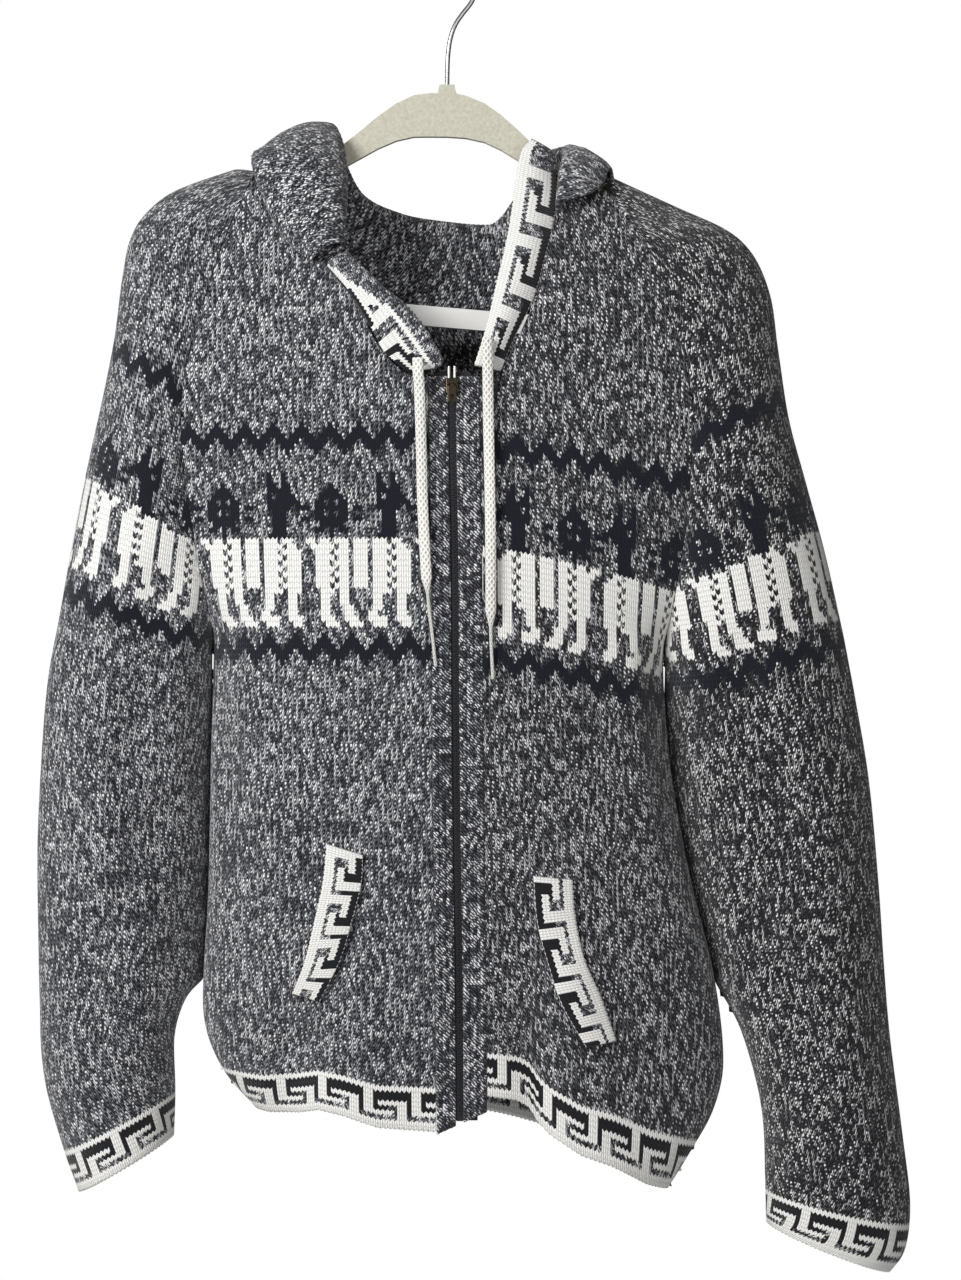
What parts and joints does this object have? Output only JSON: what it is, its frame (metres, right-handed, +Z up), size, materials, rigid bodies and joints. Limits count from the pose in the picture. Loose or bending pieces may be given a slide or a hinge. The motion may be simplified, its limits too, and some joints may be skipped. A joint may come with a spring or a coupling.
{
  "type": "hooded zip sweater on a hanger",
  "caption": "Knitted hooded cardigan with a full zip, raglan sleeves, pocket welts and drawstring, hanging on a flocked hanger with a wire hook.",
  "frame": {"origin": "where the hanger's hook lies on a rail, at the top of the hook's wire", "axes": "+Z up; the garment's front faces -Y; the wearer's left is at +X"},
  "size_m": [0.6534, 0.1734, 0.984],
  "materials": {
    "marl_knit": "charcoal and pale grey marled stocking-stitch knit, matt, slightly hairy",
    "key_knit": "white, black and grey knitted key border",
    "rib_knit": "marled knit worked sideways, with ribs",
    "zip_tape": "black woven tape with dark teeth",
    "zip_metal": "dark antique bronze",
    "white_cord": "off-white flat braid",
    "flocked_board": "beige short flock",
    "hook_wire": "bright steel wire"
  },
  "bodies": {
    "garment": {"front_right": "marl_knit", "front_left": "marl_knit", "back": "marl_knit", "sleeve_right": "marl_knit", "sleeve_left": "marl_knit", "hood": "marl_knit", "hood_casing_right": "key_knit", "hood_casing_left": "key_knit", "hood_casing_back": "key_knit", "zip_facing_right": "rib_knit", "zip_facing_left": "rib_knit", "zip_chain": "zip_tape", "zip_slider": "zip_metal", "pocket_welt_right": "key_knit", "pocket_welt_left": "key_knit", "drawstring_right": "white_cord", "drawstring_left": "white_cord", "hanger": "flocked_board", "hanger_hook": "hook_wire"},
    "pull_tab": {"zip_pull": "zip_metal"}
  },
  "joints": [
    {"name": "pull_tab_hinge", "type": "hinge", "parent": "garment", "child": "pull_tab", "pos_m": [0.00425, -0.0609, -0.324], "axis": [-1, 0, 0], "range_deg": [0, 150]}
  ]
}
